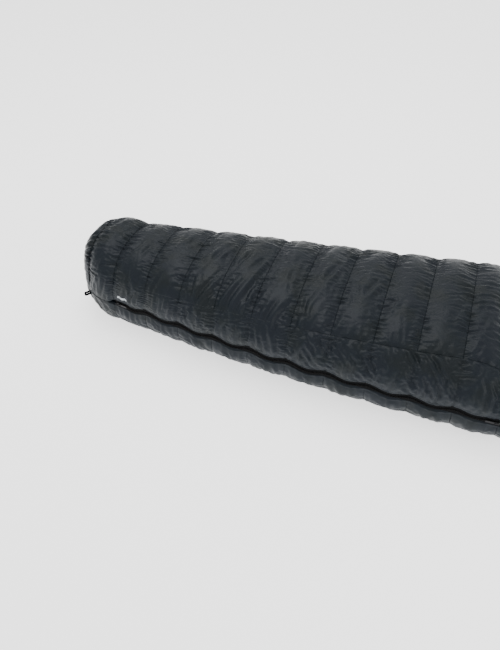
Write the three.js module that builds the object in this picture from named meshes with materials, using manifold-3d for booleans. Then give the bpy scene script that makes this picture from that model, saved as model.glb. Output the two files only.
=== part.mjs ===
// Down sleeping bag that unzips along one side into a camp quilt, lying closed and lofted.
// Millimetres. +X runs from the foot to the hood, -Y is the zip side, +Z is up and z = 0 is the ground.
// Lengths along the bag are given from the toe, and at() turns them into X.
import * as THREE from "three";
import { mergeVertices } from "three/addons/utils/BufferGeometryUtils.js";
import Module from "manifold-3d";

const wasm = await Module();
wasm.setup();

// Driving dimensions
const gap = 0.3; // between neighbouring pieces
const seamClear = 0.6; // the same on each side of the long seam, whose edge bows between stations
const bag = {
  height: 320,
  crease: 140, // height of the side seams, where the zip runs
  pressed: 3, // how far the underside would dip below the ground it is pressed flat on
  footSeam: 205, // toe to the first seam across the bag
  footRise: 42, // how much higher the foot box stands at its toe, before it rounds off
  chamberPitch: 145,
  chambers: 11,
  shoulderBack: 0.724, // chin seam back to the widest place, in chambers
  footHalfZip: 205,
  footHalfFar: 225,
  shoulderHalf: 392,
  zipBulge: 35, // how far the zip side bows out from its chord
};
const loft = { top: 52, bottom: 40, side: 42, toe: 78, valley: 16 };
// Lengths in the hood are measured from the chin, which is the last seam of the body.
const hood = {
  length: 375,
  half: 225,
  height: 225,
  taperEnd: 155, // where the shoulders have run into the hood
  domeStart: 175,
  crownSeam: 233,
  endSeam: 315,
  openingHalf: 140,
  openingEnd: 225,
  edgeClear: 8.4, // rim centreline to the down beside it
  endShare: 0.3, // width of the last ring, as a share of the hood
};
const curve = { up: 2.5, down: 3.2, dome: 2.3 }; // superellipse exponents
// The same, for how each side rounds off at the toe.
const toeCurve = { near: 1.9, far: 3.2, up: 3, down: 1.9 };
// Height of the seam above the zip, as a share of the crown's.
const sideChamber = { foot: 0.53, head: 0.83 };
const tape = { reach: 15.5, thickness: 1, inset: 9, slot: 1.6 };
const coil = { width: 3, depth: 2.4 };
const shellEdge = tape.reach + loft.top / 30; // crease line to the edge of the down beside the zip
const liner = { thickness: 1.2, clear: 0.8 };
const draftTube = { depth: 26, below: 26, hangClear: 4 };
const collar = { depth: 26 };
const zip = { footStart: 6, headBack: 30, tail: 28 };
const slider = {
  length: 16,
  height: 11,
  plate: 1.2,
  clear: 0.5,
  post: 2.8,
  bridge: 2.3,
  bar: 1.2,
  barHalf: 5,
};
const pull = { length: 36, width: 8, thickness: 1.4, arm: 9, armWidth: 1.4 };
const sliderBack = 14; // slider's middle to the end of the coil, when parked
const stop = { length: 4, height: 7, depth: 3.4 };
const tab = { width: 32, thickness: 1.6, above: 36, bend: 12, below: 30, past: 5 };
const patch = { width: 26, height: 10, thickness: 1.1, edge: 1 };
const rim = { radius: 6.5, bore: 2.2, start: 23, sink: 2 };
const cord = { radius: 1.4, tail: 20, knot: 3.4 };
const lock = {
  radius: 8,
  height: 20,
  bore: 5.6,
  floor: 3,
  plunger: 5.2,
  proud: 5,
  cross: 2.3,
  cordHeight: 12,
  travel: 4,
  start: 12,
  side: 176,
};
const spring = { radius: 3.4, wire: 0.5, turns: 3 };
const loop = { width: 10, thickness: 1.6, reach: 24, gap: 11, stand: 0.8 };
const label = { length: 42, height: 8, thickness: 0.8 };
const toeRings = [0, 10, 28, 54];

const colours = {
  shell: 0x353b41,
  lining: 0x24282c,
  tape: 0x141414,
  coil: 0x1d1b1b,
  metal: 0x2a2a2c,
  plastic: 0x18191b,
  steel: 0x9a9a9a,
  cord: 0x202224,
  label: 0xb9bec2,
};
const chin = bag.footSeam + bag.chambers * bag.chamberPitch;
const total = chin + hood.length;
const shoulder = chin - bag.shoulderBack * bag.chamberPitch;
const crownSeam = chin + hood.crownSeam;
const endSeam = chin + hood.endSeam;
const at = (s) => s - total / 2;

// Plan outline: the zip side is an arc of a circle from the first seam to the shoulder.
const arc = (() => {
  const a = new THREE.Vector2(at(bag.footSeam), -bag.footHalfZip);
  const b = new THREE.Vector2(at(shoulder), -bag.shoulderHalf);
  const chord = b.clone().sub(a);
  const length = chord.length();
  const radius = (length * length / 4 + bag.zipBulge ** 2) / (2 * bag.zipBulge);
  const inward = new THREE.Vector2(-chord.y, chord.x).normalize();
  const centre = a.clone().add(b).multiplyScalar(0.5);
  centre.addScaledVector(inward, radius - bag.zipBulge);
  return { radius, centre };
})();
const arcHalf = (s) =>
  Math.sqrt(arc.radius ** 2 - (at(s) - arc.centre.x) ** 2) - arc.centre.y;
const straight = Math.PI;
const lerp = THREE.MathUtils.lerp;
const smooth = THREE.MathUtils.smoothstep;
const farLine = (s) =>
  lerp(bag.footHalfFar, bag.shoulderHalf, (s - bag.footSeam) / (shoulder - bag.footSeam));

// How far the bag has closed in towards the toe and over the crown.
const toeAt = (s) => Math.min(0.93, Math.max(0, 1 - s / bag.footSeam));
const footShare = (s, n) => (1 - toeAt(s) ** n) ** (1 / n);
function headShare(s) {
  const along = Math.max(0, (s - chin - hood.domeStart) / (hood.length - hood.domeStart));
  const share = (1 - Math.min(along, 0.985) ** curve.dome) ** (1 / curve.dome);
  return Math.max(hood.endShare, share);
}
function halves(s) {
  const along = THREE.MathUtils.clamp(s, bag.footSeam, shoulder);
  const taper = smooth(s, shoulder, chin + hood.taperEnd);
  const near = lerp(arcHalf(along), hood.half, taper) * footShare(s, toeCurve.near);
  const far = lerp(farLine(along), hood.half, taper) * footShare(s, toeCurve.far);
  const head = headShare(s);
  return { near: near * head, far: far * head };
}
function heights(s) {
  const top = lerp(bag.height, hood.height, smooth(s, shoulder - 160, chin));
  const up = (top - bag.crease + bag.footRise * toeAt(s)) * footShare(s, toeCurve.up);
  const down = bag.crease * footShare(s, toeCurve.down);
  const head = lerp(1, headShare(s), 0.8);
  return { up: up * head, down: down * head + bag.pressed };
}
// How far in a surface lies from the shell's fullest shape: a share of the loft, plus an allowance.
const inset = (share, extra = 0) => ({
  side: share * loft.side + extra,
  up: share * loft.top + extra,
  down: share * loft.bottom + extra,
});
const outside = (depth) => inset(depth / loft.top);
const inside = (extra = 0) => inset(1, extra);
// Each section is a superellipse. The angle runs from 0 at the zip-side crease over the top to
// half a turn at the far crease, and is negative underneath.
function section(s, angle, off) {
  const { near, far } = halves(s);
  const { up, down } = heights(s);
  const over = angle > 0;
  return {
    n: over ? curve.up : curve.down,
    side: (Math.cos(angle) > 0 ? near : far) - off.side,
    rise: over ? up - off.up : down - off.down,
  };
}
function surfacePoint(s, angle, off) {
  const { n, side, rise } = section(s, angle, off);
  const c = Math.cos(angle);
  const sn = Math.sin(angle);
  const y = -Math.sign(c) * side * Math.abs(c) ** (2 / n);
  const z = bag.crease + Math.sign(sn) * rise * Math.abs(sn) ** (2 / n);
  return new THREE.Vector3(at(s), y, Math.max(0, z));
}
// The zip-side angle at a height above or below the crease.
function angleAtRise(s, height, off) {
  const { n, rise } = section(s, height, off);
  return Math.sign(height) * Math.asin((Math.abs(height) / rise) ** (n / 2));
}
// The zip-side angle over the top at a distance from the centre plane.
function angleAtSide(s, distance, off) {
  const { n, side } = section(s, 1, off);
  return Math.acos((distance / side) ** (n / 2));
}

// Solids
function solidOf(geometry) {
  const bare = geometry.index ? geometry.toNonIndexed() : geometry.clone();
  for (const name of Object.keys(bare.attributes))
    if (name !== "position") bare.deleteAttribute(name);
  const merged = mergeVertices(bare, 1e-4);
  return new wasm.Manifold(
    new wasm.Mesh({
      numProp: 3,
      vertProperties: new Float32Array(merged.attributes.position.array),
      triVerts: new Uint32Array(merged.index.array),
    }),
  );
}
function geometryOf(solid) {
  const mesh = solid.getMesh();
  const geometry = new THREE.BufferGeometry();
  geometry.setAttribute("position", new THREE.BufferAttribute(mesh.vertProperties, 3));
  geometry.setIndex(new THREE.BufferAttribute(mesh.triVerts, 1));
  geometry.computeVertexNormals();
  return geometry;
}
// A closed solid from rings of points, each ring the same even length. A ring's second half
// runs back along its first, so its four-sided faces are split the other way, to match. Each
// end is closed by a strip that joins the two halves.
function ringSolid(rings) {
  const count = rings[0].length;
  const last = (rings.length - 1) * count;
  const index = [];
  for (let i = 0; i + 1 < rings.length; i++)
    for (let j = 0; j < count; j++) {
      const a = i * count + j;
      const b = i * count + ((j + 1) % count);
      if (j < count / 2) index.push(a, a + count, b, b, a + count, b + count);
      else index.push(a, a + count, b + count, a, b + count, b);
    }
  for (let j = 0; j < count / 2 - 1; j++) {
    const [a, b, c, d] = [j, j + 1, count - 2 - j, count - 1 - j];
    index.push(a, b, c, a, c, d);
    index.push(last + b, last + a, last + c, last + c, last + a, last + d);
  }
  const geometry = new THREE.BufferGeometry();
  const positions = rings.flat().flatMap((p) => [p.x, p.y, p.z]);
  geometry.setAttribute("position", new THREE.Float32BufferAttribute(positions, 3));
  geometry.setIndex(index);
  if (solidOf(geometry).volume() < 0)
    geometry.setIndex([...index].reverse());
  return geometry;
}
// A padded piece between an outer and an inner surface, through the given stations. The angles
// across it may differ between the two surfaces.
function padded({ stations, angles, innerAngles = angles, outer, inner = () => inside() }) {
  return ringSolid(
    stations.map((s) => [
      ...angles(s).map((a) => surfacePoint(s, a, outer(s))),
      ...innerAngles(s).reverse().map((a) => surfacePoint(s, a, inner(s))),
    ]),
  );
}
const spread = (from, to, steps) =>
  Array.from({ length: steps + 1 }, (_, j) => lerp(from, to, j / steps));
const seams = spread(bag.footSeam, chin, bag.chambers);
// How deep the seam valley is at s between two seams.
const valleyBetween = (s0, s1) => (s) =>
  outside(loft.valley * Math.abs((2 * (s - s0)) / (s1 - s0) - 1) ** 3);
const crown = [0.3, 0.7]; // the full part of a chamber, as shares of its pitch
const crownStations = (s0, s1) => [s0 + gap / 2, ...crown.map((k) => lerp(s0, s1, k)), s1 - gap / 2];
const overCrease = (s) => angleAtRise(s, gap / 2, inside());
const underCrease = (s) => angleAtRise(s, -gap / 2, inside());
const zipEdge = (s, side) => angleAtRise(s, side * shellEdge, outside(0));
const halfSeam = (s) => seamClear / (halves(s).near - loft.side); // as an angle
const longSeam = (s) => {
  const [foot, head] = [sideChamber.foot, sideChamber.head].map((k) => Math.asin(k ** (curve.up / 2)));
  return lerp(foot, head, Math.min(1, (s - bag.footSeam) / (shoulder - bag.footSeam)));
};
const topAngles = (s) => spread(longSeam(s) + halfSeam(s), straight - overCrease(s), 9);
const sideAngles = (s) => spread(zipEdge(s, 1), longSeam(s) - halfSeam(s), 3);
const underAngles = (s) => spread(zipEdge(s, -1), -straight - underCrease(s), 11);

const root = new THREE.Group();
function add(name, geometry, colour, options = {}) {
  const { roughness = 0.5, metalness = 0, parent = root } = options;
  const material = new THREE.MeshStandardMaterial({ color: colour, roughness, metalness });
  const mesh = new THREE.Mesh(geometry, material);
  mesh.name = name;
  parent.add(mesh);
  return mesh;
}
const twoDigits = (n) => String(n).padStart(2, "0");

function makeChambers() {
  for (let i = 0; i < bag.chambers; i++) {
    const [s0, s1] = [seams[i], seams[i + 1]];
    const shape = { stations: crownStations(s0, s1), outer: valleyBetween(s0, s1) };
    const number = twoDigits(i + 1);
    add(`top_chamber_${number}`, padded({ ...shape, angles: topAngles }), colours.shell);
    add(`bottom_chamber_${number}`, padded({ ...shape, angles: underAngles }), colours.shell);
  }
  const ends = [seams[0] + gap / 2, ...seams.slice(1, -1), ...crownStations(seams.at(-2), chin).slice(1)];
  const beside = padded({ stations: ends, angles: sideAngles, outer: () => outside(4) });
  add("zip_side_chamber", beside, colours.shell);
}

function makeFoot() {
  const shape = {
    stations: [loft.toe + gap, (loft.toe + bag.footSeam) / 2, bag.footSeam - gap / 2],
    outer: (s) => outside(loft.valley * smooth(s, loft.toe, bag.footSeam) ** 4),
  };
  for (const [name, crease, far] of [
    ["foot_chamber_upper", overCrease, straight],
    ["foot_chamber_lower", underCrease, -straight],
  ]) {
    const angles = (s) => spread(crease(s), far - crease(s), 10);
    add(name, padded({ ...shape, angles }), colours.shell);
  }
  add("foot_end_chamber", ringSolid([...toeRings, loft.toe].map(fullRing)), colours.shell);
}
const ringSides = 20;
function fullRing(s) {
  return Array.from({ length: ringSides }, (_, j) =>
    surfacePoint(s, (j / ringSides) * 2 * straight, outside(0)),
  );
}

// The face opening runs straight from the chin to the rim's ends, then closes over the crown
// in half an ellipse. The rim's centreline is the same shape, a clearance smaller.
const rimStart = chin + rim.start;
const openingEnd = chin + hood.openingEnd;
const openingSide = (s) =>
  (hood.openingHalf + hood.edgeClear) *
  Math.sqrt(Math.max(0, 1 - (Math.max(0, s - rimStart) / (openingEnd - rimStart)) ** 2));
const cheekAngles = (s, off) =>
  spread(overCrease(s), angleAtSide(s, Math.max(gap, openingSide(s)), off), 5);
function makeHood() {
  const plain = () => outside(0);
  const turns = spread(0, straight / 2, 7).map((a) => lerp(rimStart, openingEnd, Math.sin(a)));
  for (const [name, turn] of [
    ["hood_cheek_zip", (a) => a],
    ["hood_cheek_far", (a) => straight - a],
  ]) {
    const made = padded({
      stations: [chin + gap / 2, ...turns, crownSeam - gap / 2],
      angles: (s) => cheekAngles(s, plain()).map(turn),
      innerAngles: (s) => cheekAngles(s, inside()).map(turn),
      outer: plain,
    });
    add(name, made, colours.shell);
  }
  const over = padded({
    stations: [crownSeam + gap / 2, (crownSeam + endSeam) / 2, endSeam - gap / 2],
    angles: (s) => spread(overCrease(s), straight - overCrease(s), 10),
    outer: plain,
  });
  add("hood_crown_chamber", over, colours.shell);
  const under = padded({
    stations: [chin + gap / 2, ...baseStations, endSeam - gap / 2],
    angles: (s) => [underCrease(s), ...underAngles(s)],
    outer: plain,
  });
  add("hood_base_chamber", under, colours.shell);
  const endRings = spread(endSeam + gap / 2, total, 3).map(fullRing);
  add("hood_end_chamber", ringSolid(endRings), colours.shell);
}
const baseStations = spread(chin, endSeam, 4).slice(1, -1);

// A point on the rim's centreline, from the zip side (0) over the crown to the far side (1).
function rimPoint(t) {
  const turn = t * straight;
  const s = lerp(rimStart, openingEnd - hood.edgeClear, Math.sin(turn));
  const side = -hood.openingHalf * Math.cos(turn);
  const angle = angleAtSide(s, Math.abs(side), outside(0));
  return new THREE.Vector3(at(s), side, surfacePoint(s, angle, outside(0)).z - rim.sink);
}
const circle = (r, sides, shape = new THREE.Shape()) => {
  for (let i = 0; i < sides; i++) {
    const a = (i / sides) * 2 * straight;
    shape[i ? "lineTo" : "moveTo"](r * Math.cos(a), r * Math.sin(a));
  }
  shape.closePath();
  return shape;
};
function tube(path, steps, shape) {
  return new THREE.ExtrudeGeometry(shape, { steps, bevelEnabled: false, extrudePath: path });
}
function makeRimAndCord() {
  const rimPath = new THREE.CatmullRomCurve3(Array.from({ length: 13 }, (_, i) => rimPoint(i / 12)));
  const section = circle(rim.radius, 10);
  section.holes.push(circle(rim.bore, 8, new THREE.Path()));
  add("hood_rim_channel", tube(rimPath, 36, section), colours.shell);

  const base = lockBase();
  const cordHeight = base.z + lock.cordHeight;
  const start = rimPoint(0);
  const free = [
    new THREE.Vector3(start.x - 7, start.y - 1, start.z + 1),
    new THREE.Vector3(start.x - 11, start.y - 8, lerp(start.z, cordHeight, 0.7)),
    new THREE.Vector3(base.x, base.y + 15, cordHeight),
    new THREE.Vector3(base.x, base.y, cordHeight),
    new THREE.Vector3(base.x, base.y - 12, cordHeight),
    new THREE.Vector3(base.x, base.y - cord.tail, cordHeight - 2),
  ];
  const held = Array.from({ length: 25 }, (_, i) => rimPoint(1 - i / 24));
  const cordPath = new THREE.CatmullRomCurve3([...held, ...free], false, "centripetal");
  const line = solidOf(tube(cordPath, 96, circle(cord.radius, 8)));
  const knot = new THREE.SphereGeometry(cord.knot, 10, 8);
  knot.translate(...free[free.length - 1].toArray());
  add("hood_drawcord", geometryOf(line.add(solidOf(knot))), colours.cord, { roughness: 0.8 });
}

// Where a line of points first passes a value of x, y or z.
function crossing(points, axis, value) {
  const off = (i) => points[i][axis] - value;
  const after = points.findIndex((p, i) => i > 0 && off(i) * off(i - 1) <= 0);
  const [a, b] = [points[after - 1], points[after]];
  return a.clone().lerp(b, (value - a[axis]) / (b[axis] - a[axis]));
}
// The cord lock stands on the cheek beside the chin, on the highest place under it.
function lockBase() {
  const cheek = cheekAngles(chin, outside(0)).map((a) => surfacePoint(chin, a, outside(0)));
  const top = crossing(cheek, "y", lock.radius - lock.side).z;
  return new THREE.Vector3(at(chin + lock.start), -lock.side, top + gap);
}
function makeCordLock() {
  const holder = new THREE.Group();
  holder.position.copy(lockBase());
  root.add(holder);
  const upright = (r, low, high, sides = 20) => {
    const made = new THREE.CylinderGeometry(r, r, high - low, sides);
    made.rotateX(straight / 2);
    made.translate(0, 0, (low + high) / 2);
    return made;
  };
  const across = new THREE.CylinderGeometry(lock.cross, lock.cross, 4 * lock.radius, 12);
  across.translate(0, 0, lock.cordHeight);
  const barrel = solidOf(upright(lock.radius, 0, lock.height))
    .subtract(solidOf(upright(lock.bore, lock.floor, lock.height + 1)))
    .subtract(solidOf(across));
  add("hood_lock_barrel", geometryOf(barrel), colours.plastic, { parent: holder });
  const slotHeight = 2 * lock.cross + lock.travel;
  const slot = new THREE.BoxGeometry(2 * lock.cross, 4 * lock.radius, slotHeight);
  slot.translate(0, 0, lock.cordHeight - lock.cross + slotHeight / 2);
  const foot = lock.floor + lock.travel + 1.5;
  const plunger = solidOf(upright(lock.plunger, foot, lock.height + lock.proud)).subtract(solidOf(slot));
  add("hood_lock_plunger", geometryOf(plunger), colours.plastic, { parent: holder });
  const helix = new THREE.CatmullRomCurve3(
    Array.from({ length: spring.turns * 8 + 1 }, (_, i) => {
      const a = (i / 8) * 2 * straight;
      const low = lock.floor + spring.wire + gap;
      const high = foot - spring.wire - gap;
      const z = lerp(low, high, i / (spring.turns * 8));
      return new THREE.Vector3(spring.radius * Math.cos(a), spring.radius * Math.sin(a), z);
    }),
  );
  add("hood_lock_spring", tube(helix, spring.turns * 12, circle(spring.wire, 6)), colours.steel, {
    parent: holder,
    metalness: 1,
    roughness: 0.3,
  });
}

// The lining shares the chambers' stations and angles, so that it lies evenly against them.
function makeInside() {
  const skin = (extra) => () => inside(liner.clear + extra);
  const [low, high] = crown.map((k) => lerp(seams.at(-2), chin, k));
  const body = [seams[0] + gap, ...seams.slice(1, -1), low, high];
  const under = padded({
    stations: [...body, chin, ...baseStations, endSeam - gap],
    angles: (s) => [underCrease(s), ...underAngles(s)],
    outer: skin(0),
    inner: skin(liner.thickness),
  });
  add("liner_lower", under, colours.lining);
  const over = padded({
    stations: [...body, chin - gap],
    angles: (s) => [overCrease(s), ...sideAngles(s), ...topAngles(s)],
    outer: skin(0),
    inner: skin(liner.thickness),
  });
  add("liner_upper", over, colours.lining);

  const onLining = liner.clear + liner.thickness;
  const tubeRings = [...seams.slice(1, -1), low].map((s) => {
    const { depth, below, hangClear } = draftTube;
    const hung = inside(gap + onLining + hangClear);
    const sewn = inside(gap + onLining);
    const edge = [
      surfacePoint(s, angleAtRise(s, -below, hung), hung),
      surfacePoint(s, overCrease(s), hung),
      surfacePoint(s, sideAngles(s)[1], sewn),
    ];
    const away = (p, share) => p.clone().add(new THREE.Vector3(0, share * depth, 0));
    return [...edge, away(edge[2], 0.6), away(edge[1], 1), away(edge[0], 0.6)];
  });
  add("draft_tube", ringSolid(tubeRings), colours.lining);
  const ruff = padded({
    stations: [high, chin - gap],
    angles: (s) => topAngles(s).slice(0, -1),
    outer: skin(onLining),
    inner: skin(onLining + collar.depth),
  });
  add("draft_collar", ruff, colours.lining);
}

// A bar of constant section that follows the zip, with its section given as offsets
// inward from the zip's tape and up from the crease.
function alongZip(s0, s1, inner, outer, low, high) {
  const count = Math.max(2, Math.round((s1 - s0) / 62));
  const rings = Array.from({ length: count + 1 }, (_, i) => {
    const s = lerp(s0, s1, i / count);
    const y = -(halves(s).near - tape.inset);
    return [
      [outer, low],
      [outer, high],
      [inner, high],
      [inner, low],
    ].map(([dy, dz]) => new THREE.Vector3(at(s), y + dy, bag.crease + dz));
  });
  return ringSolid(rings);
}
const zipFoot = bag.footSeam + zip.footStart;
const zipHead = shoulder - zip.headBack;
function makeZip() {
  const half = tape.thickness / 2;
  const face = -half - gap;
  const inner = tape.slot / 2;
  for (const [name, side] of [
    ["upper", 1],
    ["lower", -1],
  ]) {
    const span = (low, high) => (side > 0 ? [low, high] : [-high, -low]);
    const strip = alongZip(zipFoot, zipHead + zip.tail, half, -half, ...span(inner, tape.reach));
    add(`zip_tape_${name}`, strip, colours.tape, { roughness: 0.9 });
    const wire = [face, face - coil.depth, ...span(inner, inner + coil.width)];
    const teeth = alongZip(zipFoot + zip.footStart, zipHead, ...wire);
    add(`zip_coil_${name}`, teeth, colours.coil, { roughness: 0.4 });
  }
}
const coilFace = tape.thickness / 2 + gap + coil.depth;
// A group standing on the zip's tape at s: X along the track, Y inward, Z up.
function onZip(s) {
  const holder = new THREE.Group();
  const x = at(s);
  holder.position.set(x, -(halves(s).near - tape.inset), bag.crease);
  const slope = (x - arc.centre.x) / Math.sqrt(arc.radius ** 2 - (x - arc.centre.x) ** 2);
  holder.rotation.z = Math.atan(slope);
  root.add(holder);
  return holder;
}
function box(x0, x1, y0, y1, z0, z1) {
  const made = new THREE.BoxGeometry(x1 - x0, y1 - y0, z1 - z0);
  made.translate((x0 + x1) / 2, (y0 + y1) / 2, (z0 + z1) / 2);
  return made;
}
function makeSlider(name, s, facing) {
  const holder = onZip(s);
  const lengthHalf = slider.length / 2;
  const h = slider.height / 2;
  const face = -(coilFace + slider.clear); // inner face of the outer plate
  const back = tape.thickness / 2 + slider.clear;
  const front = face - slider.plate;
  const barLow = front - slider.bridge;
  const post = tape.slot / 2 - gap;
  const inward = lengthHalf - slider.post;
  const nose = facing > 0 ? [inward, lengthHalf] : [-lengthHalf, -inward];
  const leg = slider.barHalf - 1.6;
  const solids = [
    box(-lengthHalf, lengthHalf, front, face, -h, h),
    box(-lengthHalf, lengthHalf, back, back + slider.plate, -h, h),
    box(...nose, front, back + slider.plate, -post, post),
    box(-slider.barHalf, -leg, barLow - slider.bar, front + 0.2, -slider.bar, slider.bar),
    box(leg, slider.barHalf, barLow - slider.bar, front + 0.2, -slider.bar, slider.bar),
    box(-slider.barHalf, slider.barHalf, barLow - slider.bar, barLow, -slider.bar, slider.bar),
  ];
  const body = solids.map(solidOf).reduce((a, b) => a.add(b));
  add(`${name}_slider`, geometryOf(body), colours.metal, { parent: holder, metalness: 0.8 });

  const pin = front - slider.bridge / 2;
  const t = pull.thickness / 2;
  const w = pull.width / 2;
  const away = -facing; // the pull lies back along the closed zip
  const along = (a, b) => (away > 0 ? [a, b] : [-b, -a]);
  const parts = [
    box(-t, t, pin - t, pin + t, -w, w),
    box(...along(-t, pull.arm + 1), pin - t, pin + t, w - pull.armWidth, w),
    box(...along(-t, pull.arm + 1), pin - t, pin + t, -w, pull.armWidth - w),
    box(...along(pull.arm, pull.length), pin - t, pin + t, -w, w),
  ];
  const grip = parts.map(solidOf).reduce((a, b) => a.add(b));
  add(`${name}_slider_pull`, geometryOf(grip), colours.metal, { parent: holder, metalness: 0.6 });
}
function makeStops() {
  for (const [name, s] of [
    ["zip_head_stop", zipHead + gap + stop.length / 2],
    ["zip_foot_stop", zipFoot + zip.footStart - gap - stop.length / 2],
  ]) {
    const face = -tape.thickness / 2 - gap;
    const half = stop.length / 2;
    const made = box(-half, half, face - stop.depth, face, -stop.height, -tape.slot / 2);
    add(name, made, colours.metal, { parent: onZip(s), metalness: 0.6 });
  }
}
function makeGuardTab() {
  const s = shoulder + tab.past;
  const holder = onZip(s);
  const low = -tab.below + patch.edge;
  const shell = outside(0);
  const below = valleyBetween(seams.at(-2), chin)(s);
  const under = underAngles(s).map((a) => surfacePoint(s, a, below));
  const zipLine = halves(s).near - tape.inset;
  const onShell = crossing(under, "z", bag.crease + low + patch.height).y + zipLine - gap;
  const half = patch.width / 2;
  const strip = (face) => box(-half, half, face - patch.thickness, face, low, low + patch.height);
  const finish = { parent: holder, roughness: 1 };
  add("guard_loop_patch", strip(onShell), colours.plastic, finish);
  const onLoops = onShell - patch.thickness - gap;
  add("guard_hook_patch", strip(onLoops), colours.plastic, finish);

  const back = onLoops - patch.thickness - gap;
  const seam = surfacePoint(s, angleAtRise(s, tab.above, shell), shell);
  const seat = zipLine + seam.y - gap;
  const outline = new THREE.Shape();
  outline.moveTo(back, -tab.below);
  outline.lineTo(back, tab.bend);
  outline.lineTo(seat, tab.above);
  outline.lineTo(seat - tab.thickness, tab.above);
  outline.lineTo(back - tab.thickness, tab.bend);
  outline.lineTo(back - tab.thickness, -tab.below);
  outline.closePath();
  const strap = new THREE.ExtrudeGeometry(outline, { depth: tab.width, bevelEnabled: false });
  strap.translate(0, 0, -tab.width / 2);
  strap.applyMatrix4(new THREE.Matrix4().makeBasis(axisY, axisZ, axisX));
  add("zip_guard_tab", strap, colours.tape, { parent: holder, roughness: 0.9 });
}
const [axisX, axisY, axisZ] = [0, 1, 2].map((i) => new THREE.Vector3().setComponent(i, 1));
// A group standing on a four-sided face: X along its first edge, Z out of the solid.
function onFace(corners, u, v) {
  const [a, b, c, d] = corners;
  const mix = (p, q, k) => p.clone().lerp(q, k);
  const holder = new THREE.Group();
  const x = mix(b, c, v).sub(mix(a, d, v)).normalize();
  const y = mix(d, c, u).sub(mix(a, b, u));
  const z = x.clone().cross(y).normalize();
  if (z.y * (a.y + b.y) < 0) z.negate();
  const across = z.clone().cross(x);
  const place = mix(mix(a, b, u), mix(d, c, u), v);
  holder.applyMatrix4(new THREE.Matrix4().makeBasis(x, across, z).setPosition(place));
  root.add(holder);
  return holder;
}
function makeLoops() {
  const outer = loop.gap / 2 + loop.thickness;
  const straightEnd = loop.reach - outer;
  for (const [name, steps] of [
    ["hang_loop_zip_side", [0, -1]],
    ["hang_loop_far_side", [-10, -9]],
  ]) {
    const [first, second] = steps.map((k) => (k / ringSides) * 2 * straight);
    const corner = (s, a) => surfacePoint(s, a, outside(0));
    const [s0, s1] = [toeRings.at(-1), loft.toe];
    const corners = [corner(s0, first), corner(s1, first), corner(s1, second), corner(s0, second)];
    const shape = new THREE.Shape();
    shape.moveTo(-outer, 0);
    shape.lineTo(outer, 0);
    shape.absarc(0, straightEnd, outer, 0, straight, false);
    shape.closePath();
    const hole = new THREE.Path();
    hole.moveTo(-loop.gap / 2, loop.thickness);
    hole.lineTo(loop.gap / 2, loop.thickness);
    hole.absarc(0, straightEnd, loop.gap / 2, 0, straight, false);
    hole.closePath();
    shape.holes.push(hole);
    const strap = new THREE.ExtrudeGeometry(shape, {
      depth: loop.width,
      bevelEnabled: false,
      curveSegments: 8,
    });
    strap.translate(0, loop.stand, -loop.width / 2);
    strap.rotateX(straight / 2);
    add(name, strap, colours.tape, { parent: onFace(corners, 0.5, 0.5), roughness: 0.9 });
  }
}
function makeLabel() {
  const [s0, s1] = seams;
  const corner = (s, k) => surfacePoint(s, sideAngles(s)[k], outside(4));
  const holder = onFace([corner(s0, 0), corner(s1, 0), corner(s1, 1), corner(s0, 1)], 0.32, 0.5);
  const plate = new THREE.BoxGeometry(label.length, label.height, label.thickness);
  plate.translate(0, 0, label.thickness / 2 + gap);
  add("label_patch", plate, colours.label, { parent: holder });
}

makeChambers();
makeFoot();
makeHood();
makeRimAndCord();
makeCordLock();
makeInside();
makeZip();
makeSlider("head", zipHead - sliderBack, 1);
makeSlider("foot", zipFoot + zip.footStart + sliderBack, -1);
makeStops();
makeGuardTab();
makeLoops();
makeLabel();

export default root;
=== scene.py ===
# Down sleeping bag with crosswise chambers and a full-length side zip, lying closed and lofted.
# Metres. +X runs from the foot to the hood, -Y is the zip side, +Z is up and z = 0 is the ground.
# Lengths along the bag are given from the toe, and atX turns them into X.
import math
import bmesh
import bpy
import numpy as np
from mathutils import Matrix


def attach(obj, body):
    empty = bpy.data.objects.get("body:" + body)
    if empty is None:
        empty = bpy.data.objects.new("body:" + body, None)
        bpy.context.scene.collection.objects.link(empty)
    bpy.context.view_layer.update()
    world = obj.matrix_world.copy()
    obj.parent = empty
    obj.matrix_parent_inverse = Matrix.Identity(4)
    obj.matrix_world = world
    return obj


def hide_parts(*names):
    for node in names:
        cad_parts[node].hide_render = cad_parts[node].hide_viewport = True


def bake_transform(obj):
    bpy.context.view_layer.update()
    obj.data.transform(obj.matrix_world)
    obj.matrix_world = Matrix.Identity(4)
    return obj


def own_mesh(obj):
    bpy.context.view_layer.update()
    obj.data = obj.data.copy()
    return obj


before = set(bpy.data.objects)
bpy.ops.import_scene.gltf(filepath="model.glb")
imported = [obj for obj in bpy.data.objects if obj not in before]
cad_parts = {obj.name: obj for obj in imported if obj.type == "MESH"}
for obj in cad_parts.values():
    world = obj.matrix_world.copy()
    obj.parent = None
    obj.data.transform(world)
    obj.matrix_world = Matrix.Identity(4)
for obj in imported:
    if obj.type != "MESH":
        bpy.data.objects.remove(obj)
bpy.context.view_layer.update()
print("frame loaded:", len(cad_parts), "nodes")

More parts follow.
